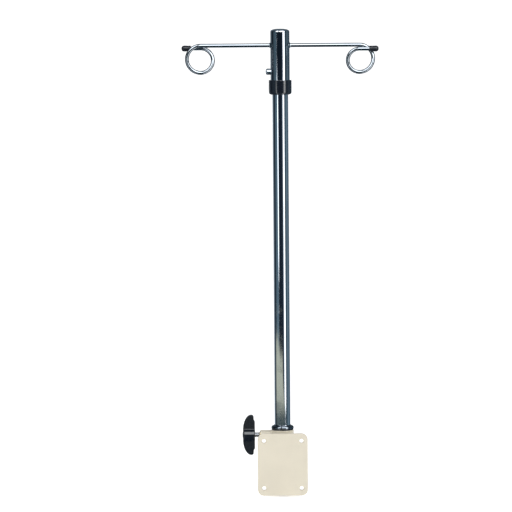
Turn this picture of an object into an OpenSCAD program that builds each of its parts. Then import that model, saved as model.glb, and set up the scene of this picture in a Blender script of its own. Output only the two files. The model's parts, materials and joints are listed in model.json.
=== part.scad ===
// Two-stage drip pole with a bolt-on socket bracket. Millimetres.
// Frame: +Z up along the pole, +X along the hook rod, mounting face in the plane y = 0 facing -Y.
// Origin: centre of the four bolt holes on the mounting face. The pole axis stands pole_y behind it.

/* [Pole] */
// Outside diameter of the pole tube
pole_d = 25.4; // [25:0.1:25.8]
// Wall thickness of the pole tube
pole_wall = 1.6; // [1.4:0.1:1.8]
// Length of bare pole between the seat flange and the collar of the head
pole_reach = 530; // [400:1:700]
// Outside diameter of the seat flange
flange_d = 36; // [34:0.5:38]
// Height of the seat flange
flange_h = 6; // [5:0.5:7]

/* [Inner stage] */
// Outside diameter of the inner tube
inner_d = 19.05; // [18.5:0.05:19.2]
// Wall thickness of the inner tube
inner_wall = 1.2; // [1:0.1:1.3]
// Length of the stop spacer, which is the overlap left between the stages at full height
overlap = 47; // [30:1:80]

/* [Head] */
// Outside diameter of the head sleeve
sleeve_d = 30.8; // [30:0.1:31]
// Wall thickness of the head sleeve
sleeve_wall = 1.5; // [1.3:0.1:1.6]
// Height of the hook rod above the underside of the collar
rod_rise = 78.6; // [77:0.2:90]
// Height of the sleeve's rim above the hook rod
sleeve_over_rod = 21; // [18:0.2:30]
// Height of the domed cap
cap_rise = 5.4; // [3:0.1:7]
// Outside diameter of the collar
collar_d = 36.5; // [35.5:0.5:38]
// Height of the collar
collar_h = 23.2; // [20:0.2:24]

/* [Hooks] */
// Diameter of the hook rod
rod_d = 6.35; // [6:0.05:6.4]
// Distance of each loop's centre from the pole axis
loop_x = 126.7; // [100:0.1:130]
// Bend radius of the half turn that leads down from the rod
loop_r = 21.8; // [20:0.2:24]
// Bend radius of the half turn that leads back up to the left tip
loop_r_left = 19.6; // [18:0.2:20]
// Bend radius of the half turn that leads back up to the right tip
loop_r_right = 18.8; // [18:0.2:20]
// Sideways shift of the tip, which opens the gap a hanger slips through
coil_shift = 10; // [9.5:0.5:14]
// Distance of each tip's end from the pole axis
hook_reach = 157.2; // [156:0.2:170]
// Outside diameter of the tip caps
tip_d = 9.5; // [9:0.5:10]
// Length of the tip caps
tip_length = 15; // [12:1:18]

/* [Release button] */
// Diameter of the button
button_d = 10; // [9:0.5:10]
// Distance of the button below the hook rod
button_drop = 42; // [40:1:42]
// How far the button stands out of the sleeve
button_out = 7.6; // [6:0.2:8]
// Button travel
button_travel = 3.5; // [2:0.5:3.5]

/* [Bracket] */
// Distance of the pole axis from the mounting face
pole_y = 38; // [38:1:60]
// Width of the bracket's plate
plate_w = 80; // [76:1:90]
// Height of the bracket's plate
plate_h = 100; // [96:1:120]
// Thickness of the bracket's plate
plate_t = 6; // [5:0.5:8]
// Bolt spacing across
bolt_dx = 60; // [50:1:62]
// Bolt spacing up
bolt_dz = 76; // [60:1:80]
// Diameter of the bolt holes
bolt_d = 6.6; // [5.5:0.1:9]

/* [Clamp knob] */
// Height of the clamp screw below the pole's seat
clamp_drop = 10; // [10:1:20]
// Diameter of the clamp screw
screw_d = 8; // [8]
// Radius that the knob's wings reach
wing_r = 32.5; // [26:0.5:33]
// Thickness of the wings
wing_t = 6.6; // [5:0.2:9]
// Turns that free the pole
clamp_turns = 2; // [1:1:2]

/* [Hidden] */
$fn = 96;

// Clearances
slip = 0.1;    // radial, between plastic guides and the tubes that slide in them
fine = 0.05;   // radial, between machined pieces that move
snug = 0.025;  // radial, around pieces fixed in a hole

// Radii
pole_r = pole_d / 2;
pole_bore_r = pole_r - pole_wall;
inner_r = inner_d / 2;
inner_bore_r = inner_r - inner_wall;
sleeve_r = sleeve_d / 2;
sleeve_bore_r = sleeve_r - sleeve_wall;
rod_r = rod_d / 2;
screw_r = screw_d / 2;

// Socket
liner_wall = 1.7;
liner_r = pole_r + slip + liner_wall;
socket_wall = 3.5;
socket_r = liner_r + socket_wall;
lip_t = 2;
socket_top = plate_h / 2 + 2;
socket_foot = -plate_h / 2 + 2;
seat_z = socket_top + lip_t;

// Heights along the pole
flange_top = seat_z + flange_h;
collar_z = flange_top + pole_reach;
rod_z = collar_z + rod_rise;
rim_z = rod_z + sleeve_over_rod;
button_z = rod_z - button_drop;
foot_clearance = 4.5;
pole_into_head = 24.5;
bush_lip = 1.5;
bush_length = 40;
pole_foot = socket_foot + foot_clearance;
pole_top = collar_z + pole_into_head;
bush_foot = pole_top - bush_length;
core_foot = pole_top + bush_lip + fine;

// Inner stage, measured up from its lowest piece
brake_z = 22;
brake_h = 58;
tube_above_rod = 15;
tube_foot = brake_z + brake_h;
tube_top = rod_z + tube_above_rod;
neck_r = 7.9;
neck_foot = tube_foot - 15;
neck_top = tube_foot - 3;
cage_r = 10.6;
cage_bore_r = 7.6;
cap_t = 2;
shoe_foot = brake_z + 22;
shoe_top = shoe_foot + 14;
cone_foot = shoe_foot - 2;
cone_taper_foot = shoe_foot;
cone_top = shoe_top + 2;
cone_wide_r = 6;
cone_narrow_r = 3.2;
release_r = 2.5;
spring_seat = 7;
spring_foot = brake_z + spring_seat;
rod_foot = spring_foot + 4;

// Button and cam
plunger_r = 4;
stem_r = 2.5;
plunger_back = -7.2;
ramp_x = -0.5;
button_root = -(sleeve_bore_r + 0.6);
button_tip = -(sleeve_r + button_out);
stem_in_button = 4;

// Clamp
clamp_z = seat_z - clamp_drop;
boss_r = 7.5;
boss_end = -36;
insert_r = 6;
pad_r = 4.8;
pad_face = -(pole_r + fine);
pad_back = -19.3;
screw_pitch = 1.25;
insert_foot = pad_back - clamp_turns * screw_pitch - 0.2;
knob_face = -44.2;
knob_end = -63.6;
hub_r = 9.5;
grub_r = 1.5;

// Points on an arc of radius r about c, from angle a0 to a1
function arc(c, r, a0, a1, n = 8) =
    [for (i = [0:n]) let (a = a0 + (a1 - a0) * i / n) c + r * [cos(a), sin(a)]];

// Points down a dome of radius r and rise h whose foot is at height z, with a soft shoulder
function dome(r, h, z, n = 20, p = 2.6) =
    [for (i = [0:n]) let (s = sin(90 * i / n)) [r * s, z + h * pow(max(0, 1 - pow(s, p)), 1 / p)]];

module at_pole(z = 0) { translate([0, pole_y, z]) children(); }

module ring(r_out, r_in, z0, z1) {
    translate([0, 0, z0]) difference() {
        cylinder(r = r_out, h = z1 - z0);
        translate([0, 0, -1]) cylinder(r = r_in, h = z1 - z0 + 2);
    }
}

// A cylinder along X from x0 to x1, about the pole axis at height z
module x_rod(r, x0, x1, z) { translate([x0, 0, z]) rotate([0, 90, 0]) cylinder(r = r, h = x1 - x0); }

// A lathe profile [radius, height] turned about the X axis, with height 0 at x and growing towards -X
module x_lathe(points, x, z) { translate([x, 0, z]) rotate([0, -90, 0]) rotate_extrude() polygon(points); }

// ---------- Bracket ----------

module plate_outline() {
    corner_r = 10;
    for (sx = [-1, 1], sz = [-1, 1])
        translate([sx * (plate_w / 2 - corner_r), sz * (plate_h / 2 - corner_r)]) circle(r = corner_r);
    square([plate_w - 2 * corner_r, plate_h], center = true);
    square([plate_w, plate_h - 2 * corner_r], center = true);
}

// One casting: plate, tapering web, socket and clamp boss
module socket_bracket() {
    web_w = 48;
    web_h = plate_h - 16;
    pad_t = 2.5;
    color("ivory") difference() {
        union() {
            translate([0, plate_t, 0]) rotate([90, 0, 0]) linear_extrude(plate_t) plate_outline();
            for (sx = [-1, 1], sz = [-1, 1]) translate([sx * bolt_dx / 2, plate_t, sz * bolt_dz / 2])
                rotate([-90, 0, 0]) cylinder(r = bolt_d / 2 + 4, h = pad_t);
            translate([0, 0, -web_h / 2]) linear_extrude(web_h) polygon([
                [-web_w / 2, plate_t - 1], [web_w / 2, plate_t - 1],
                [socket_r - 1.5, pole_y], [-socket_r + 1.5, pole_y]
            ]);
            at_pole(socket_foot) cylinder(r = socket_r, h = socket_top - socket_foot);
            at_pole() x_rod(boss_r, boss_end, -liner_r, clamp_z);
        }
        at_pole(socket_foot - 1) cylinder(r = liner_r, h = socket_top - socket_foot + 2);
        at_pole() x_rod(insert_r, boss_end - 1, insert_foot, clamp_z);
        at_pole() x_rod(pad_r + 0.2, insert_foot - 1, 0, clamp_z);
        for (sx = [-1, 1], sz = [-1, 1]) translate([sx * bolt_dx / 2, -1, sz * bolt_dz / 2])
            rotate([-90, 0, 0]) cylinder(r = bolt_d / 2, h = plate_t + pad_t + 2);
    }
}

module socket_liner() {
    color("dimgray") at_pole() difference() {
        union() {
            ring(liner_r, pole_r + slip, socket_foot + 2, socket_top);
            ring(socket_r - 0.6, pole_r + slip, socket_top, seat_z);
        }
        x_rod(pad_r + 0.2, -liner_r - 1, 0, clamp_z);
    }
}

module thread_insert() {
    color("goldenrod") at_pole() difference() {
        x_rod(insert_r, boss_end - 0.5, insert_foot, clamp_z);
        x_rod(screw_r + fine, boss_end - 2, insert_foot + 1, clamp_z);
    }
}

module socket_end_cap() {
    edge_r = 1.5;
    drain_r = 2.5;
    color([0.1, 0.1, 0.11]) at_pole(socket_foot) rotate_extrude() polygon(concat(
        [[drain_r, 2], [drain_r, -2.5]],
        arc([socket_r - edge_r, -2.5 + edge_r], edge_r, -90, 0, 5),
        [[socket_r, 0], [liner_r, 0], [liner_r, 2]]
    ));
}

// ---------- Clamp ----------

module clamp_pad() {
    color("white") at_pole() difference() {
        x_rod(pad_r, pad_back, pad_face, clamp_z);
        x_rod(stem_r, pad_back - 1, pad_back + 3, clamp_z);
    }
}

module clamp_screw() {
    color("silver") at_pole() union() {
        x_rod(screw_r, knob_end + 4, pad_back - 0.2, clamp_z);
        x_rod(stem_r - fine, pad_back - 0.3, pad_back + 2.8, clamp_z);
    }
}

// One wing in [distance from the pole axis along -X, radius from the screw]: an upright inner edge with a
// thumb step, and an outer edge that sweeps down to the hub's end as a quarter ellipse
function wing_outline() =
    let (face = -knob_face, end = -knob_end, tip = 50.2, step = wing_r - 9.5, sweep = wing_r - 8)
    concat(
        [[face + 3, 0], [face + 0.2, 4], [face + 0.2, step - 1.5]],
        [[face + 0.9, step], [face + 2, step + 1.4], [face + 2.1, wing_r - 3.6]],
        arc([tip - 0.2, wing_r - 3.6], 3.6, 180, 100, 5),
        [for (a = [80:-8:0]) [tip + (end - tip) * cos(a), 8 + sweep * sin(a)]],
        [[end - 0.2, 4], [end - 3, 0]]
    );

module wing_knob() {
    hub_l = knob_face - knob_end;
    color([0.09, 0.1, 0.12]) at_pole() difference() {
        union() {
            x_lathe(concat(
                [[0, 0], [hub_r - 1, 0], [hub_r, 1]],
                arc([hub_r - 3.5, hub_l - 2.5], 2.5, 0, 90, 5) + [for (i = [0:5]) [1, 0]],
                [[0, hub_l]]
            ), knob_face, clamp_z);
            for (up = [0, 1]) translate([0, 0, clamp_z]) mirror([0, 0, up]) translate([0, wing_t / 2, 0])
                rotate([90, 0, 0]) linear_extrude(wing_t) polygon([for (p = wing_outline()) [-p[0], p[1]]]);
        }
        x_rod(screw_r, knob_end + 4, knob_face + 1, clamp_z);
        x_rod(5.5, knob_end - 1, knob_end + 2, clamp_z);
    }
}

module knob_cap() {
    outline = [[0, 0], [5.5, 0], [5.5, 2], [4.8, 2.6], [0, 2.9]];
    color("darkgray") at_pole() x_lathe(outline, knob_end + 2, clamp_z);
}

// ---------- Pole ----------

module pole_tube() {
    color("lightsteelblue") at_pole() ring(pole_r, pole_bore_r, pole_foot, pole_top);
}

// Stop ring that carries the pole on the socket's lip
module seat_flange() {
    flange_r = flange_d / 2;
    edge_r = 3.4;
    hub_r = pole_r + 1.8;
    color("silver") at_pole(seat_z) difference() {
        rotate_extrude() polygon(concat(
            [[pole_r, 0], [flange_r - 0.6, 0], [flange_r, 0.6]],
            arc([flange_r - edge_r, flange_h - edge_r - 0.8], edge_r, 0, 90, 8),
            [[hub_r, flange_h - 0.8], [hub_r - 0.4, flange_h], [pole_r, flange_h]]
        ));
        grub_screws(grub_r, pole_r - 1, flange_r + 1);
    }
}

// Two short screws through the flange's back half
module grub_screws(r, from, to) {
    for (a = [50, 130]) rotate([0, 0, a]) translate([from, 0, 2])
        rotate([0, 90, 0]) cylinder(r = r, h = to - from);
}

module flange_grub_screws() {
    color("dimgray") at_pole(seat_z) grub_screws(grub_r, pole_r + snug, flange_d / 2 - 0.7);
}

module pole_foot_plug() {
    color([0.1, 0.1, 0.11]) at_pole(pole_foot) rotate_extrude() polygon(concat(
        [[0, 14], [0, -2]],
        arc([pole_r - 1.6, -0.5], 1.5, -90, 0, 5),
        [[pole_r - 0.1, 0], [pole_bore_r, 0], [pole_bore_r, 13], [pole_bore_r - 1, 14]]
    ));
}

module top_bush() {
    color("white") at_pole() union() {
        ring(pole_bore_r, inner_r + slip - 0.02, bush_foot, pole_top);
        ring(pole_r, inner_r + slip - 0.02, pole_top, pole_top + bush_lip);
    }
}

// ---------- Inner stage ----------

// Slides in the pole; the inner stage turns inside it
module guide_ring() {
    color("white") at_pole() ring(pole_bore_r - fine, neck_r + fine, neck_foot + fine, neck_top - fine);
}

module inner_tube() {
    color("lightsteelblue") at_pole() difference() {
        ring(inner_r, inner_bore_r, tube_foot, tube_top);
        x_rod(rod_r + snug, -inner_r - 1, inner_r + 1, rod_z);
        x_rod(stem_r + slip, -inner_r - 1, 0, button_z);
    }
}

// Spacer that meets the top bush at full height
module travel_stop() {
    color("dimgray") at_pole() ring(pole_bore_r - 0.2, inner_r, tube_foot, tube_foot + overlap);
}

// Spigot in the inner tube, neck for the guide ring, thread for the cage
module brake_spindle() {
    color("silver") at_pole() difference() {
        rotate_extrude() polygon([
            [0, neck_foot - 4], [5, neck_foot - 4], [5, neck_foot], [neck_r, neck_foot], [neck_r, neck_top],
            [inner_r - 0.1, neck_top], [inner_r - 0.1, tube_foot], [inner_bore_r, tube_foot],
            [inner_bore_r, tube_foot + 20], [0, tube_foot + 20]
        ]);
        translate([0, 0, neck_foot - 5]) cylinder(r = release_r + slip, h = 50);
    }
}

module brake_cage() {
    color("gray") at_pole() difference() {
        translate([0, 0, brake_z + cap_t]) cylinder(r = cage_r, h = neck_foot - brake_z - cap_t);
        translate([0, 0, brake_z + 1]) cylinder(r = cage_bore_r, h = neck_foot - 4 - brake_z - 1);
        translate([0, 0, neck_foot - 5]) cylinder(r = 5, h = 6);
        shoe_windows(0.1);
    }
}

// Three blocks, one for each shoe's window, with a gap on each side
module shoe_windows(gap) {
    shoe_w = 9;
    shoe_h = shoe_top - shoe_foot;
    for (a = [0, 120, 240]) rotate([0, 0, a]) translate([3, -shoe_w / 2 - gap, shoe_foot - gap])
        cube([12, shoe_w + 2 * gap, shoe_h + 2 * gap]);
}

// The cone's taper, widened by gap
module taper(gap) {
    h = cone_top - cone_taper_foot;
    below = 10;
    slope = (cone_wide_r - cone_narrow_r) / h;
    translate([0, 0, cone_taper_foot - below])
        cylinder(r1 = cone_wide_r + gap + below * slope, r2 = cone_narrow_r + gap, h = h + below);
}

// Wedges between the cone and the pole's wall
module brake_shoes() {
    color("dimgray") at_pole() difference() {
        intersection() {
            shoe_windows(0);
            translate([0, 0, shoe_foot - 1]) cylinder(r = pole_bore_r - fine, h = 20);
        }
        taper(fine);
    }
}

module brake_cone() {
    color("goldenrod") at_pole() difference() {
        rotate_extrude() polygon([
            [0, cone_foot], [cone_wide_r, cone_foot], [cone_wide_r, cone_taper_foot],
            [cone_narrow_r, cone_top], [0, cone_top]
        ]);
        translate([0, 0, cone_foot - 1]) cylinder(r = release_r, h = 30);
    }
}

module cage_cap() {
    color("silver") at_pole(brake_z) union() {
        cylinder(r = cage_r, h = cap_t);
        cylinder(r = cage_bore_r, h = spring_seat);
    }
}

// Closed helix of round wire, swept as a tube of triangles
module coil_spring(coil_r, wire_r, height, turns) {
    steps = turns * 24;
    sides = 8;
    points = [
        for (i = [0:steps], j = [0:sides - 1])
        let (a = 360 * turns * i / steps, b = 360 * j / sides, r = coil_r + wire_r * cos(b))
        [r * cos(a), r * sin(a), wire_r + (height - 2 * wire_r) * i / steps + wire_r * sin(b)]
    ];
    walls = [
        for (i = [0:steps - 1], j = [0:sides - 1], half = [0, 1])
        let (p = i * sides + j, q = i * sides + (j + 1) % sides)
        half == 0 ? [p, q, q + sides] : [p, q + sides, p + sides]
    ];
    ends = [
        [for (j = [sides - 1:-1:0]) j],
        [for (j = [0:sides - 1]) steps * sides + j]
    ];
    polyhedron(points, concat(walls, ends));
}

module lock_spring() {
    color("silver") at_pole(spring_foot) coil_spring(4.9, 0.45, cone_foot - spring_foot, 5);
}

// ---------- Head ----------

module head_sleeve() {
    color("lightsteelblue") at_pole() difference() {
        ring(sleeve_r, sleeve_bore_r, collar_z + 3, rim_z);
        x_rod(rod_r + snug, -sleeve_r - 1, sleeve_r + 1, rod_z);
        x_rod(button_d / 2 + slip, -sleeve_r - 1, 0, button_z);
    }
}

// Joins the sleeve to the inner tube, and rests on the top bush when the stage is down
module head_core() {
    color("silver") at_pole() difference() {
        ring(sleeve_bore_r, inner_r, core_foot, rim_z - 4);
        x_rod(rod_r + snug, -sleeve_r, sleeve_r, rod_z);
        x_rod(button_d / 2 + slip, -sleeve_r, 0, button_z);
    }
}

module head_cap() {
    color("lightsteelblue") at_pole(rim_z) rotate_extrude() polygon(concat(
        [[0, -4]], dome(sleeve_r, cap_rise, 0), [[sleeve_bore_r, 0], [sleeve_bore_r, -4]]
    ));
}

// Cup with a rounded foot, pressed over the sleeve's end, with a tongue that rides on the pole
module end_collar() {
    collar_r = collar_d / 2;
    foot_r = 4.2;
    ride_r = pole_r + slip;
    groove_z = 3;
    color([0.08, 0.08, 0.1]) at_pole(collar_z) rotate_extrude() polygon(concat(
        [[ride_r, 0.4], [ride_r + 0.4, 0]],
        arc([collar_r - foot_r, foot_r], foot_r, -90, 0, 8),
        [[collar_r, collar_h - 0.5], [collar_r - 0.5, collar_h], [sleeve_r, collar_h]],
        [[sleeve_r, groove_z], [sleeve_bore_r, groove_z]],
        [[sleeve_bore_r, collar_h - 4], [ride_r, collar_h - 4]]
    ));
}

// Guides the plunger and the release rod inside the inner tube
module cam_housing() {
    housing_h = 30;
    color("white") at_pole() difference() {
        translate([0, 0, button_z - housing_h / 2]) cylinder(r = inner_bore_r, h = housing_h);
        translate([0, 0, button_z - housing_h / 2 - 1]) cylinder(r = release_r + slip, h = housing_h / 2 + 7);
        x_rod(plunger_r + fine, -inner_r, ramp_x + plunger_r + button_travel + 0.4, button_z);
    }
}

// ---------- Hooks ----------

// Plastic beyond the rod's end in a tip cap
tip_cover = 3;

// Each half turn leans so that it carries the rod forward by half of coil_shift
function lean(r) = asin(coil_shift / 4 / r);
loop_foot = -2 * loop_r * cos(lean(loop_r));

// Height of a tip beside the rod's line, for a return bend of radius r
function tip_z(r) = loop_foot + 2 * r * cos(lean(r));

// Half turn of rod in the XZ plane, from the top over the +X side to the bottom, with its top at the origin.
// Its section is turned by seam, so that the seams of neighbouring pieces meet.
module half_turn(r, seam) {
    top_to_z = [[0, 1, 0, 0], [0, 0, 1, 0], [1, 0, 0, -r], [0, 0, 0, 1]];
    multmatrix(top_to_z) rotate_extrude(angle = 180) translate([r, 0]) rotate(seam) circle(r = rod_r);
}

// Once round from the rod's end, shifting forward by coil_shift, and on to the tip
module coil(r_return) {
    down = lean(loop_r);
    up = lean(r_return);
    twist = 2 * (down + up);
    strand = hook_reach - tip_cover - loop_x;
    translate([loop_x, 0, 0]) rotate([-down, 0, 0]) half_turn(loop_r, -down);
    translate([loop_x, -coil_shift / 2, loop_foot]) rotate([up, 0, 0]) rotate([0, 180, 0])
        half_turn(r_return, up - twist);
    translate([loop_x, -coil_shift, tip_z(r_return)]) rotate([0, 90, 0]) rotate(180 + twist)
        cylinder(r = rod_r, h = strand);
}

module hook_rod() {
    color("silver") at_pole(rod_z) union() {
        translate([loop_x, 0, 0]) rotate([0, -90, 0]) cylinder(r = rod_r, h = 2 * loop_x);
        coil(loop_r_right);
        rotate([0, 0, 180]) coil(loop_r_left);
    }
}

// Concave fillets of weld where the rod meets the sleeve
module rod_welds() {
    weld_r = 5.8;
    throat = 2.6;
    outline = concat(
        [[rod_r + snug, -1.6], [weld_r, -1.6]],
        arc([weld_r, throat], weld_r - rod_r - 0.4, -90, -180, 6),
        [[rod_r + snug, throat]]
    );
    color("silver") at_pole() difference() {
        for (a = [0, 180]) rotate([0, 0, a]) x_lathe(outline, -sleeve_r, rod_z);
        translate([0, 0, rod_z - 10]) cylinder(r = sleeve_r, h = 20);
    }
}

// Dipped plastic cap on the rod's end, with a soft lip at its mouth
module hook_tip(r_return) {
    tip_r = tip_d / 2;
    depth = tip_length - tip_cover;
    outline = concat(
        [[0, tip_length]],
        [for (a = [80:-10:0]) [tip_r * cos(a), tip_length - tip_r + tip_r * sin(a)]],
        [[tip_r, 0.6], [tip_r - 0.6, 0], [rod_r, 0], [rod_r, depth], [0, depth]]
    );
    translate([hook_reach - tip_length, -coil_shift, tip_z(r_return)]) rotate([0, 90, 0])
        rotate_extrude() polygon(outline);
}

module hook_tip_right() {
    color([0.08, 0.08, 0.1]) at_pole(rod_z) hook_tip(loop_r_right);
}

module hook_tip_left() {
    color([0.08, 0.08, 0.1]) at_pole(rod_z) rotate([0, 0, 180]) hook_tip(loop_r_left);
}

// ---------- Release mechanism ----------

module release_button() {
    reach = button_root - button_tip;
    dome_h = 3;
    outline = concat([[0, 0]], dome(button_d / 2, dome_h, reach - dome_h), [[button_d / 2, 0]]);
    color("silver") at_pole() difference() {
        x_lathe(outline, button_root, button_z);
        x_rod(stem_r, button_root - stem_in_button, button_root + 1, button_z);
    }
}

// Everything above and to the left of the 45 degree ramp, lowered by drop
module ramp_side(drop) {
    translate([ramp_x, 0, button_z - drop]) rotate([0, -45, 0]) translate([-30, -15, 0]) cube([60, 30, 30]);
}

// Pushed inward, its ramp drives the release rod down by the same distance
module cam_plunger() {
    color("darkgray") at_pole() union() {
        x_rod(stem_r, button_root - stem_in_button, plunger_back + 0.2, button_z);
        intersection() {
            x_rod(plunger_r, plunger_back, 6, button_z);
            ramp_side(0);
        }
    }
}

module release_rod() {
    color("silver") at_pole() difference() {
        translate([0, 0, rod_foot]) cylinder(r = release_r, h = button_z + 5 - rod_foot);
        ramp_side(0.08);
    }
}

socket_bracket();
socket_liner();
thread_insert();
socket_end_cap();
clamp_pad();
clamp_screw();
wing_knob();
knob_cap();
pole_tube();
seat_flange();
flange_grub_screws();
pole_foot_plug();
top_bush();
guide_ring();
inner_tube();
travel_stop();
brake_spindle();
brake_cage();
brake_shoes();
cage_cap();
lock_spring();
head_sleeve();
head_core();
head_cap();
end_collar();
cam_housing();
hook_rod();
rod_welds();
hook_tip_left();
hook_tip_right();
release_button();
cam_plunger();
release_rod();
brake_cone();
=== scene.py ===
"""Surfaces, finishes, studio light and camera for a drip pole on a bolt-on socket bracket.

Everything is in metres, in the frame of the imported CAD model: +Z up the pole, +X along the hook rod, and the
bracket's mounting face in the plane y = 0. Places and outer sizes come from the CAD nodes.
"""
import json
import math

import bmesh
import bpy
from mathutils import Matrix, Vector


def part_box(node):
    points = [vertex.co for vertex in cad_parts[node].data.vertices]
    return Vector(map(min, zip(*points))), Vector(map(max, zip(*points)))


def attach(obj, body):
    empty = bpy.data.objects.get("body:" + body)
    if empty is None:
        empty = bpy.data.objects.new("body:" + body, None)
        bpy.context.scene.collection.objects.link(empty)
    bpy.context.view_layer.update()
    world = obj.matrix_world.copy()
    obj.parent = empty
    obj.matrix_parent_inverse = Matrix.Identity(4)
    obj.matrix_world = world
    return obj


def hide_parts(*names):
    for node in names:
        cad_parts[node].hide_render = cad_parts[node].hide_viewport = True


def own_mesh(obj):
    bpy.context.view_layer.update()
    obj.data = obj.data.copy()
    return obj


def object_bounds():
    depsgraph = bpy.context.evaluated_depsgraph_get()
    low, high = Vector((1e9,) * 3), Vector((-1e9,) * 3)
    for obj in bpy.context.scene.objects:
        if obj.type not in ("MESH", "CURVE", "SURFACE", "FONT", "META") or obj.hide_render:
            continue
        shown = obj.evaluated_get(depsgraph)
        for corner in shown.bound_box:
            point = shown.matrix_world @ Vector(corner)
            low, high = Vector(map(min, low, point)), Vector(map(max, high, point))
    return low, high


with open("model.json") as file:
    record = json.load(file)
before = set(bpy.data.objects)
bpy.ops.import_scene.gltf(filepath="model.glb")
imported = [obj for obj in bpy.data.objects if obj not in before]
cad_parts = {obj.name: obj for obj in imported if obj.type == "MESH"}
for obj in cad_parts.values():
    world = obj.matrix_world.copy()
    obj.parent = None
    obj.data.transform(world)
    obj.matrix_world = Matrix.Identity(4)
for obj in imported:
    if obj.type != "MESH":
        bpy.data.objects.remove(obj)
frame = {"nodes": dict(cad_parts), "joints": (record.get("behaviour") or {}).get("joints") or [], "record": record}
cad_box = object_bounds()

MM = 0.001
TURN = 2 * math.pi

POLE_WALL = 1.6 * MM
INNER_WALL = 1.2 * MM
SLEEVE_WALL = 1.5 * MM
RUNNING_GAP = 0.1 * MM  # between the pole and a piece it slides in
HIDDEN_GAP = 0.02 * MM  # keeps two touching faces out of one plane

# How finely turned pieces are divided
LARGE_SIDES = 128
MEDIUM_SIDES = 96
SMALL_SIDES = 64
SCREW_SIDES = 32


# ---------- Places and sizes, from the frame ----------

SLOTS = {part["node"]: part["material_slot"] for part in frame["record"]["subparts"]}
BODIES = {
    node: body for body, nodes in frame["record"]["behaviour"]["bodies"].items() for node in nodes
}


def joint(name):
    return next(j for j in frame["joints"] if j["name"] == name)


SWIVEL = Vector(joint("head_swivel")["pos_m"])
AXIS = Vector((SWIVEL.x, SWIVEL.y, 0))
CLAMP_Z = Vector(joint("knob_turn")["pos_m"]).z
UPRIGHT = Matrix.Translation(AXIS)


def radius(node):
    """A turned CAD node's outer radius about the pole's axis."""
    vertices = frame["nodes"][node].data.vertices
    return max(math.hypot(v.co.x - AXIS.x, v.co.y - AXIS.y) for v in vertices)


def heights(node):
    """A node's lowest and highest point."""
    low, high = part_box(node)
    return low.z, high.z


def lying(node):
    """A round node that lies along X: its two ends, its centre's height and its radius."""
    low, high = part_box(node)
    return low.x, high.x, (low.z + high.z) / 2, (high.z - low.z) / 2


def sideways(x, z):
    """Places a lathed piece along the line through the pole's axis at height z, growing towards -X from x."""
    return Matrix.Translation((x, AXIS.y, z)) @ Matrix.Rotation(-math.pi / 2, 4, "Y")


# ---------- Mesh tools ----------

ARC_STEPS = 7
CROWN_POWER = 2.6
SHARP_ANGLE = math.radians(38)


def filleted(corners):
    """A closed outline from (radius, height, fillet) corners. Without a fillet, a corner stays sharp."""
    points = []
    for i, corner in enumerate(corners):
        here = Vector(corner[:2])
        fillet = corner[2] if len(corner) > 2 else 0
        if not fillet:
            points.append(here)
            continue
        before = (Vector(corners[i - 1][:2]) - here).normalized()
        after = (Vector(corners[(i + 1) % len(corners)][:2]) - here).normalized()
        half = before.angle(after) / 2
        centre = here + (before + after).normalized() * (fillet / math.sin(half))
        start = here + before * (fillet / math.tan(half)) - centre
        end = here + after * (fillet / math.tan(half)) - centre
        sweep_angle = start.angle_signed(end)
        for k in range(ARC_STEPS + 1):
            turned = start.copy()
            turned.rotate(Matrix.Rotation(-sweep_angle * k / ARC_STEPS, 2))
            points.append(centre + turned)
    return points


def crown(r, low, high, steps):
    """The outline of a dome with a soft shoulder, a superellipse, from its top on the axis to its rim."""
    points = []
    for i in range(steps + 1):
        across = math.sin(math.pi / 2 * i / steps)
        rise = max(0.0, 1 - across ** CROWN_POWER) ** (1 / CROWN_POWER)
        points.append(Vector((r * across, low + (high - low) * rise)))
    return points


def lathe_mesh(outline, place, segments=MEDIUM_SIDES):
    """A bmesh of a closed (radius, height) outline turned about Z, then placed."""
    bm = bmesh.new()
    rings = []
    for r, h in outline:
        count = 1 if r < 1e-7 else segments
        rings.append([
            bm.verts.new(place @ Vector((r * math.cos(TURN * k / count), r * math.sin(TURN * k / count), h)))
            for k in range(count)
        ])
    for a, b in zip(rings, rings[1:] + rings[:1]):
        if len(a) == len(b) == 1:
            continue
        for k in range(segments):
            loop = [a[k % len(a)], a[(k + 1) % len(a)], b[(k + 1) % len(b)], b[k % len(b)]]
            bm.faces.new(list(dict.fromkeys(loop)))
    bmesh.ops.recalc_face_normals(bm, faces=bm.faces)
    return bm


def skin(bm, rings, capped):
    """Joins rings of equal length into a tube, with flat ends if it is capped."""
    for a, b in zip(rings, rings[1:]):
        for k in range(len(a)):
            after = (k + 1) % len(a)
            bm.faces.new((a[k], a[after], b[after], b[k]))
    if capped:
        bm.faces.new(rings[0])
        bm.faces.new(rings[-1])
    bmesh.ops.recalc_face_normals(bm, faces=bm.faces)


def sweep_mesh(points, r, sides=40):
    """A bmesh of a round rod that follows points, with flat ends."""
    bm = bmesh.new()
    rings = []
    side = Vector((0, 1, 0))
    for i, p in enumerate(points):
        ahead = points[min(i + 1, len(points) - 1)] - points[max(i - 1, 0)]
        ahead.normalize()
        side = (side - ahead * side.dot(ahead)).normalized()
        up = ahead.cross(side)
        turns = [TURN * k / sides for k in range(sides)]
        rings.append([bm.verts.new(p + side * (r * math.cos(a)) + up * (r * math.sin(a))) for a in turns])
    skin(bm, rings, capped=True)
    return bm


def drill(r, start, end, place, segments):
    """A closed rod that cuts a round hole, or with few segments a polygonal one."""
    outline = [Vector((0, start)), Vector((r, start)), Vector((r, end)), Vector((0, end))]
    return lathe_mesh(outline, place, segments)


# ---------- Pieces ----------

def to_mesh(name, bm):
    """A mesh of the bmesh, which is used up."""
    mesh = bpy.data.meshes.new(name)
    bm.to_mesh(mesh)
    bm.free()
    return mesh


def add_object(name, data):
    obj = bpy.data.objects.new(name, data)
    bpy.context.scene.collection.objects.link(obj)
    return obj


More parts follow.
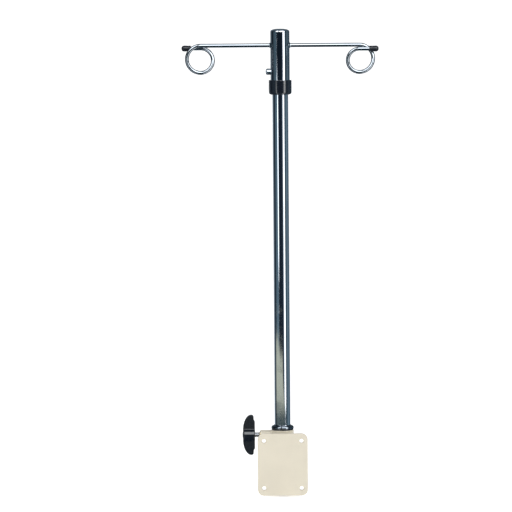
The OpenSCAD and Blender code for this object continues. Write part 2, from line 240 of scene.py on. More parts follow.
def smooth(mesh):
    mesh.polygons.foreach_set("use_smooth", [True] * len(mesh.polygons))


def finish_normals(obj):
    """Smooth shading that keeps flat and round stretches true and creases sharp."""
    smooth(obj.data)
    obj.data.set_sharp_from_angle(angle=SHARP_ANGLE)
    weighted = obj.modifiers.new("true_faces", "WEIGHTED_NORMAL")
    weighted.keep_sharp = True
    weighted.weight = 100


def stand_for(obj, node):
    """The object is shown in place of a CAD node, on its body."""
    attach(obj, BODIES[node])
    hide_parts(node)


def piece(name, bm, node, finish=None):
    """A visible piece that stands for a CAD node. Its finish is the node's own unless another is given."""
    obj = add_object(name, to_mesh(name, bm))
    obj.data.materials.append(finish or finishes[SLOTS[node]])
    finish_normals(obj)
    stand_for(obj, node)
    return obj


def apply_modifiers(obj):
    bpy.context.view_layer.update()
    graph = bpy.context.evaluated_depsgraph_get()
    made = bpy.data.meshes.new_from_object(obj.evaluated_get(graph))
    obj.modifiers.clear()
    obj.data = made


def cut(obj, bm):
    """Cuts a closed bmesh out of a piece and applies the result."""
    tool = add_object("cutter", to_mesh("cutter", bm))
    difference = obj.modifiers.new("cut", "BOOLEAN")
    difference.operation = "DIFFERENCE"
    difference.solver = "EXACT"
    difference.object = tool
    apply_modifiers(obj)
    bpy.data.objects.remove(tool)
    finish_normals(obj)


def round_normals(obj, centre, r_true):
    """Exact normals on an upright cylinder's outer wall, where a cut has left long faces round a hole."""
    tolerance = 0.02 * MM
    facing_out = 0.9
    mesh = obj.data
    normals = [Vector(n.vector) for n in mesh.corner_normals]
    for polygon in mesh.polygons:
        for i in polygon.loop_indices:
            spoke = mesh.vertices[mesh.loops[i].vertex_index].co - centre
            spoke.z = 0
            on_wall = abs(spoke.length - r_true) < tolerance
            if on_wall and polygon.normal.dot(spoke) > facing_out * spoke.length:
                normals[i] = spoke.normalized()
    obj.modifiers.clear()
    mesh.normals_split_custom_set([tuple(n) for n in normals])


def moulded(name, node, voxel, rounds):
    """The CAD node's shape with the soft blends and edges of a casting or moulding."""
    obj = add_object(name, frame["nodes"][node].data.copy())
    remesh = obj.modifiers.new("remesh", "REMESH")
    remesh.mode = "VOXEL"
    remesh.voxel_size = voxel
    apply_modifiers(obj)
    bm = bmesh.new()
    bm.from_mesh(obj.data)
    for _ in range(rounds):
        bmesh.ops.smooth_vert(
            bm, verts=bm.verts, factor=0.5, use_axis_x=True, use_axis_y=True, use_axis_z=True
        )
    bm.to_mesh(obj.data)
    bm.free()
    obj.data.materials.clear()
    obj.data.materials.append(finishes[SLOTS[node]])
    smooth(obj.data)
    stand_for(obj, node)


# ---------- Node tools ----------

class Graph:
    """Builds a shader's nodes, left to right."""

    def __init__(self, tree):
        self.tree = tree
        tree.nodes.clear()

    def add(self, kind, *values, **settings):
        """A node of this kind with its settings made and its inputs filled or linked, in order."""
        made = self.tree.nodes.new("ShaderNode" + kind)
        for key, value in settings.items():
            setattr(made, key, value)
        for slot, value in enumerate(values):
            if value is not None:
                self.put(made.inputs[slot], value)
        return made

    def put(self, socket, value):
        """Links a node or socket to an input, or fills the input with a plain value."""
        if isinstance(value, bpy.types.NodeSocket):
            self.tree.links.new(value, socket)
        elif isinstance(value, bpy.types.Node):
            self.tree.links.new(value.outputs[0], socket)
        elif socket.type == "RGBA" and len(value) == 3:
            socket.default_value = (*value, 1)
        else:
            socket.default_value = value

    def math(self, operation, *values):
        return self.add("Math", *values, operation=operation).outputs[0]

    def product(self, first, *others):
        for other in others:
            first = self.math("MULTIPLY", first, other)
        return first

    def vector(self, operation, *values):
        made = self.add("VectorMath", *values, operation=operation)
        return made.outputs["Value" if operation == "DOT_PRODUCT" else "Vector"]

    def remap(self, value, low, high, to_low=0.0, to_high=1.0, curve="SMOOTHSTEP"):
        made = self.add("MapRange", value, low, high, to_low, to_high, interpolation_type=curve)
        return made.outputs[0]

    def ramp(self, value, stops):
        """Colour by value, eased between (value, colour) stops in rising order."""
        first, last = stops[0][0], stops[-1][0]
        made = self.add("ValToRGB", self.remap(value, first, last, curve="LINEAR"))
        made.color_ramp.interpolation = "EASE"
        elements = made.color_ramp.elements
        elements[0].color = (*stops[0][1], 1)
        elements[-1].color = (*stops[-1][1], 1)
        for at, colour in stops[1:-1]:
            elements.new((at - first) / (last - first)).color = (*colour, 1)
        return made.outputs[0]

    def mix(self, share, a, b):
        """Colour a where share is 0, colour b where it is 1."""
        made = self.add("Mix", data_type="RGBA")
        for name, value in (("Factor", share), ("A", a), ("B", b)):
            socket = next(s for s in made.inputs if s.name == name and s.enabled)
            self.put(socket, value)
        return next(s for s in made.outputs if s.enabled)

    def noise(self, place, scale, detail=3.0, roughness=0.55):
        return self.add("TexNoise", place, None, scale, detail, roughness).outputs[0]

    def grain(self, place, stretch):
        """Fine noise drawn out by a scale for each axis, for polishing lines and tool marks."""
        return self.noise(self.vector("MULTIPLY", place, stretch), 1.0, 2.0)


def surface(name, build):
    """A material whose Principled shader is filled in by build(graph, shader, place)."""
    material = bpy.data.materials.new(name)
    material.use_nodes = True
    graph = Graph(material.node_tree)
    place = graph.add("TexCoord").outputs["Object"]
    shader = graph.add("BsdfPrincipled")
    output = graph.add("OutputMaterial")
    graph.put(output.inputs["Surface"], shader)
    build(graph, shader, place)
    return material


def bump(graph, shader, height, strength, distance):
    made = graph.add("Bump", strength, distance)
    graph.put(made.inputs["Height"], height)
    graph.put(shader.inputs["Normal"], made.outputs[0])


def scaled(colour, share):
    return [share * c for c in colour]


# ---------- Finishes ----------

LINES_ROUND_Z = (60, 60, 2600)
LINES_ROUND_X = (2600, 60, 60)


def chrome(name, tint, polish=0.03, stretch=LINES_ROUND_Z, line_depth=0.05):
    """Bright plate: faint polishing lines round the piece, a soft haze and a few smudges."""
    def build(graph, shader, place):
        smudge = graph.remap(graph.noise(place, 38.0, 5.0), 0.5, 0.72)
        haze = graph.remap(graph.noise(place, 9.0, 2.0), 0.35, 0.75)
        graph.put(shader.inputs["Base Color"], graph.mix(smudge, tint, scaled(tint, 0.93)))
        graph.put(shader.inputs["Metallic"], 1.0)
        rough = graph.math("ADD", polish, graph.math("MULTIPLY", smudge, 0.035))
        rough = graph.math("ADD", rough, graph.math("MULTIPLY", haze, 0.015))
        graph.put(shader.inputs["Roughness"], rough)
        bump(graph, shader, graph.grain(place, stretch), line_depth, 0.02 * MM)
    return surface(name, build)


def gloss_black(name, base, rough, grain_scale, grain, shine):
    """Injection-moulded or dipped black plastic with a faint grain and scuffs."""
    def build(graph, shader, place):
        scuff = graph.remap(graph.noise(place, 260.0, 6.0, 0.7), 0.58, 0.75)
        cloud = graph.noise(place, 30.0, 3.0)
        colour = graph.mix(cloud, base, scaled(base, 1.5))
        graph.put(shader.inputs["Base Color"], graph.mix(scuff, colour, scaled(base, 3.0)))
        graph.put(shader.inputs["Roughness"], graph.remap(scuff, 0.0, 1.0, rough, rough + 0.18))
        graph.put(shader.inputs["Specular IOR Level"], shine)
        bump(graph, shader, graph.noise(place, grain_scale, 2.0), grain, 0.05 * MM)
    return surface(name, build)


def powder_coat(name, base):
    """Powder coat: orange-peel texture and faint darker blotches under a light gloss."""
    def build(graph, shader, place):
        peel = graph.noise(place, 900.0, 2.0, 0.4)
        blotch = graph.remap(graph.noise(place, 22.0, 4.0), 0.35, 0.7)
        graph.put(shader.inputs["Base Color"], graph.mix(blotch, base, scaled(base, 0.95)))
        graph.put(shader.inputs["Roughness"], graph.remap(peel, 0.3, 0.7, 0.3, 0.42))
        graph.put(shader.inputs["Coat Weight"], 0.25)
        graph.put(shader.inputs["Coat Roughness"], 0.12)
        bump(graph, shader, peel, 0.35, 0.12 * MM)
    return surface(name, build)


def nylon(name, base):
    """Machined natural nylon: fine turning marks and a little light under the skin."""
    def build(graph, shader, place):
        marks = graph.grain(place, (80, 80, 3200))
        tone = graph.noise(place, 60.0, 3.0)
        graph.put(shader.inputs["Base Color"], graph.mix(tone, base, scaled(base, 0.93)))
        graph.put(shader.inputs["Roughness"], graph.remap(marks, 0.3, 0.7, 0.42, 0.58))
        graph.put(shader.inputs["Subsurface Weight"], 0.15)
        graph.put(shader.inputs["Subsurface Scale"], 1.5 * MM)
        bump(graph, shader, marks, 0.2, 0.03 * MM)
    return surface(name, build)


def machined(name, base, rough):
    """Turned or drawn metal: tight tool marks, mottled plating."""
    def build(graph, shader, place):
        marks = graph.grain(place, (120, 120, 5200))
        mottle = graph.noise(place, 240.0, 4.0)
        graph.put(shader.inputs["Base Color"], graph.mix(mottle, base, scaled(base, 0.8)))
        graph.put(shader.inputs["Metallic"], 1.0)
        graph.put(shader.inputs["Roughness"], graph.remap(mottle, 0.3, 0.7, rough, rough + 0.12))
        bump(graph, shader, marks, 0.25, 0.02 * MM)
    return surface(name, build)


def pale_floor(name):
    """A matt floor that glows a little, so that it reads as white."""
    def build(graph, shader, place):
        graph.put(shader.inputs["Base Color"], (0.93, 0.93, 0.93))
        graph.put(shader.inputs["Roughness"], 0.9)
        graph.put(shader.inputs["Emission Color"], (1.0, 1.0, 1.0))
        graph.put(shader.inputs["Emission Strength"], 0.55)
    return surface(name, build)


finishes = {
    "chrome": chrome("chrome_tube", (0.62, 0.66, 0.71)),
    "cream_paint": powder_coat("cream_powder_coat", (0.76, 0.705, 0.58)),
    "black_plastic": gloss_black(
        "gloss_black_moulding", (0.006, 0.008, 0.013), rough=0.1, grain_scale=700.0, grain=0.06, shine=0.9
    ),
    "black_vinyl": gloss_black(
        "dipped_black_vinyl", (0.006, 0.008, 0.012), rough=0.24, grain_scale=400.0, grain=0.18, shine=0.5
    ),
    "nylon": nylon("natural_nylon", (0.80, 0.78, 0.70)),
    "steel": machined("zinc_steel", (0.60, 0.61, 0.63), rough=0.22),
    "aluminium": machined("satin_aluminium", (0.74, 0.75, 0.77), rough=0.28),
    "brass": machined("turned_brass", (0.72, 0.55, 0.26), rough=0.2),
}
# Darker copies of the tube chrome for the rod, its welds and the flange: painted shade, so that they read darker
# than the tubes
chrome_rod_painted_shade = chrome("chrome_rod_painted_shade", (0.42, 0.455, 0.49), 0.02, LINES_ROUND_X, 0.01)
chrome_flange_painted_shade = chrome("chrome_flange_painted_shade", (0.20, 0.225, 0.255))


# ---------- Pole ----------

def build_tube(name, node, wall, edge, segments):
    """A plain tube with its edges broken."""
    low, high = heights(node)
    r = radius(node)
    bore = r - wall
    outline = filleted([(bore, low, edge), (r, low, edge), (r, high, edge), (bore, high, edge)])
    piece(name, lathe_mesh(outline, UPRIGHT, segments), node)


def build_pole():
    build_tube("pole", "pole_tube", POLE_WALL, 0.35 * MM, LARGE_SIDES)


def build_flange():
    """A turned ring with a rounded shoulder and a low hub, held by two grub screws at the back."""
    low, high = heights("seat_flange")
    r = radius("seat_flange")
    bore = radius("pole_tube") + 0.005 * MM
    hub = bore + 1.8 * MM
    shoulder = high - 0.8 * MM
    hub_edge = 0.35 * MM
    outline = filleted([
        (bore, low), (r, low, 0.5 * MM), (r, shoulder, 3.4 * MM), (hub, shoulder, hub_edge),
        (hub, high, hub_edge), (bore, high)
    ])
    # The flange takes the darker chrome copy: painted shade
    flange = piece("flange", lathe_mesh(outline, UPRIGHT, LARGE_SIDES), "seat_flange", chrome_flange_painted_shade)

    _, _, z, screw_r = lying("flange_grub_screws")
    hole_r = 1.06 * screw_r
    sunk = 0.7 * MM
    for name, angle in (("grub_screw_a", 50), ("grub_screw_b", 130)):
        outward = (
            Matrix.Translation(AXIS + Vector((0, 0, z)))
            @ Matrix.Rotation(math.radians(angle), 4, "Z")
            @ Matrix.Rotation(math.pi / 2, 4, "Y")
        )
        cut(flange, drill(hole_r, r - 6 * MM, r + MM, outward, SCREW_SIDES))
        build_grub_screw(name, outward, screw_r, r - sunk)


def build_grub_screw(name, outward, r, end):
    """A set screw's end with a hexagon socket."""
    start = end - 4 * MM
    outline = filleted([(0, start), (r, start, 0.2 * MM), (r, end, 0.25 * MM), (0, end)])
    screw = piece(name, lathe_mesh(outline, outward, SCREW_SIDES), "flange_grub_screws")
    cut(screw, drill(0.55 * r, end - 1.4 * MM, end + MM, outward, 6))


def build_foot_plug():
    """A plug pressed into the pole, with a lip under the tube's end."""
    low, high = heights("pole_foot_plug")
    r = radius("pole_foot_plug")
    stem_r = radius("pole_tube") - POLE_WALL - HIDDEN_GAP
    lip = low + 2 * MM - HIDDEN_GAP
    outline = filleted([
        (0, low), (r, low, 1.4 * MM), (r, lip), (stem_r, lip), (stem_r, high, MM), (0, high)
    ])
    piece("foot_plug", lathe_mesh(outline, UPRIGHT), "pole_foot_plug")


# ---------- Inner stage and head ----------

def build_inner_tube():
    build_tube("inner_tube_skin", "inner_tube", INNER_WALL, 0.25 * MM, MEDIUM_SIDES)


def build_spring():
    """The lock spring, whose coils close up as the release rod comes down on them; here they keep the CAD node's
    shape, in a mesh of their own.
    """
    bm = bmesh.new()
    bm.from_mesh(frame["nodes"]["lock_spring"].data)
    spring = piece("lock_spring_coils", bm, "lock_spring")
    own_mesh(spring)


def build_sleeve():
    """The head's outer tube, with a hole for the button."""
    low, high = heights("head_sleeve")
    r = radius("head_sleeve")
    bore = r - SLEEVE_WALL
    outline = filleted([(bore, low), (r, low), (r, high, 0.18 * MM), (bore, high)])
    sleeve = piece("sleeve", lathe_mesh(outline, UPRIGHT, LARGE_SIDES), "head_sleeve")
    _, _, z, button_r = lying("release_button")
    clearance = 0.2 * MM
    cut(sleeve, drill(button_r + clearance, 0, 2 * r, sideways(AXIS.x, z), SMALL_SIDES))
    round_normals(sleeve, AXIS, r)


def build_dome():
    """The sleeve's cap: a crown, a hairline where it meets the sleeve, and a skirt inside."""
    low, high = heights("head_cap")
    r = radius("head_cap")
    foot = heights("head_sleeve")[1]
    hairline = 0.15 * MM
    skirt_r = r - 2 * MM
    skirt = [Vector((r - 0.25 * MM, foot)), Vector((skirt_r, foot)), Vector((skirt_r, low))]
    outline = [Vector((0, low))] + crown(r, foot + hairline, high, 28) + skirt
    piece("dome", lathe_mesh(outline, UPRIGHT, LARGE_SIDES), "head_cap")


def build_collar():
    """A moulded collar round the sleeve's end, with a tongue inside the sleeve that runs on the pole."""
    low, high = heights("end_collar")
    r = radius("end_collar")
    bore = radius("pole_tube") + RUNNING_GAP
    sleeve_r = radius("head_sleeve")
    tongue_r = sleeve_r - SLEEVE_WALL
    seat = low + 3 * MM
    tongue = high - 4 * MM
    outline = filleted([
        (bore, low, 0.3 * MM), (r, low, 4.2 * MM), (r, high, 0.7 * MM), (sleeve_r, high, 0.15 * MM),
        (sleeve_r, seat), (tongue_r, seat), (tongue_r, tongue), (bore, tongue)
    ])
    piece("collar", lathe_mesh(outline, UPRIGHT, LARGE_SIDES), "end_collar")


def build_button():
    low_x, high_x, z, r = lying("release_button")
    reach = high_x - low_x
    rim = reach - 3 * MM
    outline = [Vector((0, 0))] + crown(r, rim, reach, 16) + [Vector((r, 0))]
    piece("button", lathe_mesh(outline, sideways(high_x, z), SMALL_SIDES), "release_button")


# ---------- Hook rod ----------

ROD_LOW, ROD_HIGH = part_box("hook_rod")
TIP_LOW, TIP_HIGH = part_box("hook_tip_right")
TIP_Y = (TIP_LOW.y + TIP_HIGH.y) / 2
_, WELD_END, ROD_Z, WELD_R = lying("rod_welds")
ROD_R = ROD_HIGH.z - ROD_Z
LOOP_TO_TIP = 30.5 * MM  # from a loop's centre to its tip's end
ARM_STEPS = 4
LOOP_STEPS = 44


def hook_path(tip_node):
    """Centre line of an arm, from the pole's axis out along +X, round the loop and on to the tip.

    It is measured from the point where the rod crosses the pole's axis. The loop is two half turns, one down
    and one back up, and both lean so that the rod's end passes beside its start."""
    loop_x = TIP_HIGH.x - LOOP_TO_TIP
    shift = AXIS.y - TIP_Y
    foot = ROD_LOW.z + ROD_R - ROD_Z
    tip = lying(tip_node)[2] - ROD_Z
    out_r = math.hypot(foot, shift / 2) / 2
    back_r = math.hypot(tip - foot, shift / 2) / 2
    tilt_out = math.asin(shift / 4 / out_r)
    tilt_back = math.asin(shift / 4 / back_r)
    path = [Vector((loop_x * i / ARM_STEPS, 0, 0)) for i in range(ARM_STEPS)]
    for i in range(LOOP_STEPS + 1):
        a = math.pi * i / LOOP_STEPS
        x = loop_x + out_r * math.sin(a)
        drop = -out_r * (1 - math.cos(a))
        path.append(Vector((x, drop * math.sin(tilt_out), drop * math.cos(tilt_out))))
    for i in range(1, LOOP_STEPS + 1):
        a = math.pi * i / LOOP_STEPS
        x = loop_x - back_r * math.sin(a)
        rise = back_r * (1 - math.cos(a))
        path.append(Vector((x, -shift / 2 - rise * math.sin(tilt_back), foot + rise * math.cos(tilt_back))))
    path.append(Vector((ROD_HIGH.x, -shift, tip)))
    return path


def build_hook_rod():
    """One bent rod: the right arm's path, and the left arm's turned half way round the pole's axis."""
    centre = AXIS + Vector((0, 0, ROD_Z))
    right = hook_path("hook_tip_right")
    left = [Vector((-p.x, -p.y, p.z)) for p in hook_path("hook_tip_left")[:0:-1]]
    bm = sweep_mesh([centre + p for p in left + right], ROD_R)
    # The rod takes the darker chrome copy: painted shade
    piece("hook_rod_skin", bm, "hook_rod", chrome_rod_painted_shade)


def build_tips():
    """Dipped caps with a rolled mouth, a slight waist and a rounded nose."""
    length = TIP_HIGH.x - TIP_LOW.x
    r = (TIP_HIGH.z - TIP_LOW.z) / 2
    nose = 0.85 * r
    floor = length - 3 * MM
    outline = filleted([
        (0, floor), (ROD_R, floor), (ROD_R, 0, 0.12 * MM), (r - 0.45 * MM, 0, 0.4 * MM),
        (r - 0.1 * MM, 1.6 * MM, 1.2 * MM), (r - 0.25 * MM, 4.5 * MM, 3 * MM),
        (r, length - nose - 2 * MM, 3 * MM), (r, length, nose), (0, length)
    ])
    for name, node, turn in (("tip_right", "hook_tip_right", 0), ("tip_left", "hook_tip_left", math.pi)):
        place = (
            Matrix.Translation(AXIS)
            @ Matrix.Rotation(turn, 4, "Z")
            @ Matrix.Translation((TIP_LOW.x, TIP_Y - AXIS.y, lying(node)[2]))
            @ Matrix.Rotation(math.pi / 2, 4, "Y")
        )
        piece(name, lathe_mesh(outline, place, SMALL_SIDES), node)


def build_welds():
    """A concave fillet that runs from the sleeve's round wall on to the rod, on each side."""
    sleeve_r = radius("head_sleeve")
    throat = WELD_END - sleeve_r
    tuck = 0.3 * MM  # how far the first and last rings dip under the neighbours' surfaces
    around, along = 64, 12
    for name, side in (("weld_right", 1), ("weld_left", -1)):
        bm = bmesh.new()
        rings = []
        for j in range(-1, along + 2):
            t = min(max(j / along, 0), 1) * math.pi / 2
            ring_r = WELD_R - (WELD_R - ROD_R) * math.sin(t)
            ring_r -= tuck if j > along else 0
            sunk = -tuck if j < 0 else 0
            ring = []
            for k in range(around):
                a = TURN * k / around
                y, z = ring_r * math.cos(a), ring_r * math.sin(a)
                x = math.sqrt(sleeve_r ** 2 - y ** 2) + throat * (1 - math.cos(t)) + sunk
                ring.append(bm.verts.new((AXIS.x + side * x, AXIS.y + y, ROD_Z + z)))
            rings.append(ring)
        skin(bm, rings, capped=False)
        # The welds take the darker chrome copy: painted shade
        piece(name, bm, "rod_welds", chrome_rod_painted_shade)


# ---------- Clamp ----------

def build_screw():
    """The clamp screw, with its thread, from the pad to inside the knob."""
    low_x, high_x, _, r = lying("clamp_screw")
    pitch = 1.25 * MM
    depth = 0.6 * pitch
    chamfer = 0.8 * MM
    shank_end = high_x - 3 * MM
    length = shank_end - low_x
    sides, per_pitch = 48, 8
    count = int(length / pitch * per_pitch)
    bm = bmesh.new()
    rings = []
    for i in range(count + 1):
        along = length * i / count
        taper = max(0, chamfer - along, chamfer - (length - along))
        ring = []
        for k in range(sides):
            phase = (along / pitch - k / sides) % 1
            crest = r - 0.03 * MM - depth * abs(2 * phase - 1)
            ring_r = min(crest, r - taper)
            a = TURN * k / sides
            y, z = AXIS.y + ring_r * math.cos(a), CLAMP_Z + ring_r * math.sin(a)
            ring.append(bm.verts.new((shank_end - along, y, z)))
        rings.append(ring)
    skin(bm, rings, capped=True)
    piece("screw_thread", bm, "clamp_screw")


def build_knob():
    """The wing knob with softened edges, and the cap in its end."""
    moulded("knob", "wing_knob", voxel=0.32 * MM, rounds=10)
    low_x, high_x, _, cap_r = lying("knob_cap")
    r = cap_r - 0.05 * MM
    depth = high_x - low_x
    face = depth - 0.2 * MM
    outline = filleted([
        (0, 0), (r, 0), (r, depth - MM, 0.4 * MM), (0.6 * cap_r, face, 2 * MM), (0, face)
    ])
    piece("knob_end_cap", lathe_mesh(outline, sideways(high_x, CLAMP_Z), SMALL_SIDES), "knob_cap")


# ---------- Bracket ----------

def build_bracket():
    """The casting, and the brass insert that the clamp screw turns in."""
    moulded("bracket_casting", "socket_bracket", voxel=0.62 * MM, rounds=7)
    low_x, high_x, _, insert_r = lying("thread_insert")
    bore = lying("clamp_screw")[3] + 0.05 * MM
    depth = high_x - low_x
    outer = insert_r - HIDDEN_GAP
    outline = filleted([(bore, 0), (outer, 0), (outer, depth, 0.3 * MM), (bore, depth, 0.5 * MM)])
    piece("insert", lathe_mesh(outline, sideways(high_x, CLAMP_Z), SMALL_SIDES), "thread_insert")


def build_liner():
    """The socket's liner, with a lip on top and a hole for the clamp pad."""
    low, high = heights("socket_liner")
    lip_r = radius("socket_liner")
    bore = radius("pole_tube") + RUNNING_GAP
    body_r = bore + 1.7 * MM - HIDDEN_GAP
    lip = high - 2 * MM
    edge = 0.4 * MM
    outline = filleted([
        (bore, low, edge), (body_r, low, edge), (body_r, lip), (lip_r, lip, 0.3 * MM),
        (lip_r, high, 0.6 * MM), (bore, high, 0.5 * MM)
    ])
    liner = piece("liner", lathe_mesh(outline, UPRIGHT), "socket_liner")
    hole_r = lying("clamp_pad")[3] + 0.2 * MM
    cut(liner, drill(hole_r, 0, 2 * lip_r, sideways(AXIS.x, CLAMP_Z), 48))


def build_socket_cap():
    """The cap in the socket's lower end, with a drain hole."""
    low, high = heights("socket_end_cap")
    r = radius("socket_end_cap")
    drain = 2.5 * MM
    rim = high - 2 * MM - HIDDEN_GAP
    plug_r = radius("pole_tube") + 1.78 * MM
    edge = 0.3 * MM
    outline = filleted([
        (drain, low, 0.6 * MM), (r, low, 1.5 * MM), (r, rim, 0.2 * MM), (plug_r, rim),
        (plug_r, high, edge), (drain, high, edge)
    ])
    piece("socket_cap", lathe_mesh(outline, UPRIGHT), "socket_end_cap")


def finish_cad_nodes():
    """The CAD nodes that stay visible keep their shape and take their own finish."""
    for name, node in frame["nodes"].items():
        node.data.materials.clear()
        node.data.materials.append(finishes[SLOTS[name]])


# ---------- Studio ----------

# What polished pieces mirror at eye level, by angle round the camera in degrees. 0 is towards the camera.
ROOM = (
    (-180, (0.85, 0.90, 0.93)),
    (-162, (0.80, 0.85, 0.88)),
    (-128, (0.20, 0.25, 0.29)),
    (-112, (0.03, 0.05, 0.07)),
    (-94, (0.012, 0.02, 0.034)),
    (-76, (0.11, 0.17, 0.21)),
    (-50, (0.14, 0.22, 0.28)),
    (-36, (0.03, 0.045, 0.06)),
    (-24, (0.014, 0.022, 0.036)),
    (10, (0.014, 0.022, 0.036)),
    (26, (0.04, 0.06, 0.09)),
    (64, (0.05, 0.09, 0.12)),
    (78, (0.08, 0.135, 0.175)),
    (97, (0.21, 0.29, 0.34)),
    (110, (0.10, 0.16, 0.21)),
    (150, (0.09, 0.14, 0.19)),
    (180, (0.85, 0.90, 0.93)),
)
# Lit cards: centre, half width and edge blur by angle, lowest and highest elevation and their blur, colour
CARDS = (
    (50.0, 6.0, 4.0, -6.52, 50.0, 0.14, (1.8, 1.8, 1.8)),
    (43.0, 4.0, 3.0, -6.52, 50.0, 0.14, (6.0, 6.0, 6.0)),
    (38.0, 4.5, 5.0, -6.52, -1.9, 0.14, (1.25, 1.28, 1.3)),
    (-39.5, 3.5, 5.0, -4.4, -2.3, 0.5, (2.4, 2.5, 2.6)),
    (46.0, 8.0, 4.0, -78.0, -10.0, 1.5, (3.0, 3.0, 3.0)),
    (-39.5, 3.5, 5.0, -78.0, -10.0, 1.5, (2.0, 2.1, 2.2)),
    (-36.5, 14.5, 4.0, 14.0, 60.0, 5.0, (3.4, 3.5, 3.6)),
    (27.0, 33.0, 4.0, 14.0, 60.0, 5.0, (3.4, 3.5, 3.6)),
)
WHITE = (1.0, 1.0, 1.0)
BLACK = (0.0, 0.0, 0.0)
PLAIN_WALL = (0.11, 0.14, 0.17)
FLOOR_AHEAD = (0.05, 0.085, 0.12)
FLOOR_BELOW = (0.02, 0.04, 0.06)
TRAY = (0.62, 0.63, 0.51)
UNDER_TRAY = (0.045, 0.075, 0.09)


def directions(graph):
    """Where a ray heads, in degrees: its angle round the camera, 0 being towards it, and its elevation."""
    heading = graph.add("TexCoord").outputs["Generated"]
    right = graph.add(
        "VectorTransform", (1, 0, 0), vector_type="VECTOR", convert_from="CAMERA", convert_to="WORLD"
    ).outputs[0]
    ahead = graph.vector("CROSS_PRODUCT", (0, 0, 1), right)
    across = graph.vector("DOT_PRODUCT", heading, right)
    back = graph.math("MULTIPLY", graph.vector("DOT_PRODUCT", heading, ahead), -1.0)
    angle = graph.math("DEGREES", graph.math("ARCTAN2", across, back))
    sine = graph.vector("DOT_PRODUCT", heading, (0, 0, 1))
    return angle, graph.math("DEGREES", graph.math("ARCSINE", sine))


def strip(graph, angle, centre, half_width, softness):
    """1 within half_width of the centre, 0 outside, with soft edges, all in degrees."""
    away = graph.math("ABSOLUTE", graph.math("SUBTRACT", angle, centre))
    return graph.remap(away, half_width, half_width + softness, 1.0, 0.0)


def walls(graph, angle, height, ahead):
    """The room: striped round eye level and plain elsewhere, darker towards the floor ahead."""
    room = graph.ramp(angle, ROOM)
    room = graph.mix(graph.remap(height, -2.4, -1.9, 0.0, 0.4), room, BLACK)
    level = graph.remap(graph.math("ABSOLUTE", height), 8.0, 12.0, 1.0, 0.0)
    beside = graph.remap(graph.math("ABSOLUTE", angle), 118.0, 128.0, 1.0, 0.0)
    room = graph.mix(graph.math("MAXIMUM", level, beside), PLAIN_WALL, room)
    room = graph.mix(graph.product(graph.remap(height, -10.0, -18.0), ahead), room, FLOOR_AHEAD)
    under_tray = graph.product(graph.remap(height, -6.66, -6.72), strip(graph, angle, -14.0, 76.0, 20.0))
    return graph.mix(under_tray, room, UNDER_TRAY)


def lit_cards(graph, angle, height, room):
    for centre, half_width, softness, low, high, fade, colour in CARDS:
        share = graph.product(
            strip(graph, angle, centre, half_width, softness),
            graph.remap(height, low - fade, low),
            graph.remap(height, high, high + fade, 1.0, 0.0),
        )
        room = graph.mix(share, room, colour)
    return room


def tray_edge(graph, angle, height):
    """The edge of a pale tray, seen in the pole's foot. Its right end reaches further round lower down, and
    its upper edge slopes."""
    right_end = graph.remap(height, -6.55, -6.28, 41.0, 9.0, "LINEAR")
    top = graph.remap(angle, -62.0, -22.0, -5.62, -5.87, "LINEAR")
    return graph.product(
        graph.remap(graph.math("SUBTRACT", angle, right_end), -4.0, 4.0, 1.0, 0.0),
        graph.remap(angle, -104.0, -84.0),
        graph.remap(height, -6.65, -6.61),
        graph.remap(graph.math("SUBTRACT", height, top), -0.03, 0.03, 1.0, 0.0),
    )


def reflected_room(graph):
    """A dark room with lit cards round the camera, a tray by the pole's foot, a plain ceiling and floor."""
    angle, height = directions(graph)
    ahead = strip(graph, angle, 0.0, 20.0, 20.0)
    room = walls(graph, angle, height, ahead)
    room = lit_cards(graph, angle, height, room)
    room = graph.mix(tray_edge(graph, angle, height), room, TRAY)
    room = graph.mix(graph.remap(height, 64.0, 74.0), room, PLAIN_WALL)
    low_ahead = graph.product(ahead, graph.remap(height, -40.0, -60.0))
    below = graph.math("MAXIMUM", graph.remap(height, -74.0, -84.0), low_ahead)
    return graph.mix(below, room, FLOOR_BELOW)


def build_world():
    """White to the eye, soft white light on matt surfaces, and the room in reflections."""
    world = bpy.data.worlds.new("studio")
    bpy.context.scene.world = world
    world.use_nodes = True
    graph = Graph(world.node_tree)
    ray = graph.add("LightPath")
    to_eye = graph.add("Background", WHITE, 1.0)
    reflected = graph.add("Background", reflected_room(graph), 1.0)
    soft = graph.add("Background", WHITE, 0.6)
    shown = graph.add("MixShader", ray.outputs["Is Glossy Ray"], soft, reflected)
    shown = graph.add("MixShader", ray.outputs["Is Camera Ray"], shown, to_eye)
    output = graph.add("OutputWorld")
    graph.put(output.inputs["Surface"], shown)


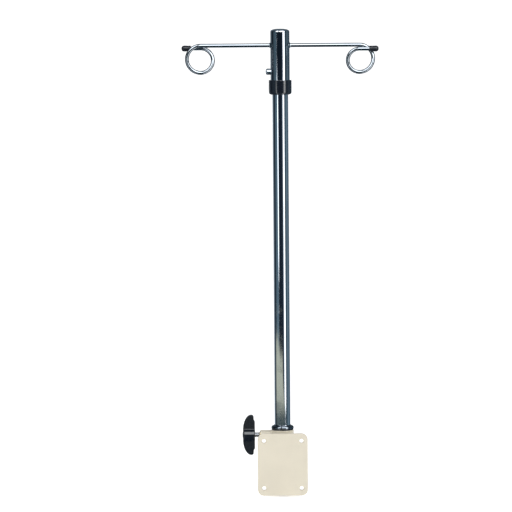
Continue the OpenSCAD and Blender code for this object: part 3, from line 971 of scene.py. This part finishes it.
def build_lights():
    """Two large soft boxes that shape the matt pieces. Reflections take their light from the room."""
    centre = (cad_box[0] + cad_box[1]) / 2
    boxes = (("key", (1.3, -1.5, 1.7), 1.2, 16.0), ("fill", (-1.7, -0.9, 0.8), 1.4, 5.0))
    for name, offset, size, power in boxes:
        light = bpy.data.lights.new(name, "AREA")
        light.shape = "SQUARE"
        light.size = size
        light.energy = power
        lamp = add_object(name, light)
        lamp.location = centre + Vector(offset)
        lamp.rotation_euler = (-Vector(offset)).to_track_quat("-Z", "Y").to_euler()
        lamp.visible_glossy = False


def build_floor():
    """A plain pale floor just under the part, too wide for its edge to be seen."""
    drop = 3 * MM
    half_width = 60.0
    bm = bmesh.new()
    bmesh.ops.create_grid(bm, x_segments=1, y_segments=1, size=half_width)
    floor = add_object("floor", to_mesh("floor", bm))
    floor.location = (0, 0, cad_box[0].z - drop)
    floor.visible_glossy = False
    floor.data.materials.append(pale_floor("pale_floor"))


def build_camera():
    """A long lens square to the hook rod and a little above the head, with the pole near upright in frame."""
    distance = 6.5
    eye_height = 0.84
    yaw, pitch, roll = math.radians(0.3575), math.radians(4.47), math.radians(-0.4287)
    camera = add_object("camera", bpy.data.cameras.new("camera"))
    camera.data.lens = 286.4
    camera.data.sensor_width = 36.0
    camera.data.clip_end = 200
    camera.location = AXIS + Vector((0, -distance, eye_height))
    camera.rotation_mode = "QUATERNION"
    pan = Matrix.Rotation(yaw, 4, "Z")
    tilt = Matrix.Rotation(math.pi / 2 - pitch, 4, "X")
    camera.rotation_quaternion = (pan @ tilt @ Matrix.Rotation(roll, 4, "Z")).to_quaternion()
    bpy.context.scene.camera = camera


finish_cad_nodes()
build_pole()
build_flange()
build_foot_plug()
build_inner_tube()
build_spring()
build_sleeve()
build_dome()
build_collar()
build_hook_rod()
build_tips()
build_welds()
build_button()
build_screw()
build_knob()
build_bracket()
build_liner()
build_socket_cap()
build_world()
build_lights()
build_floor()
build_camera()
bpy.context.scene.view_settings.view_transform = "Standard"
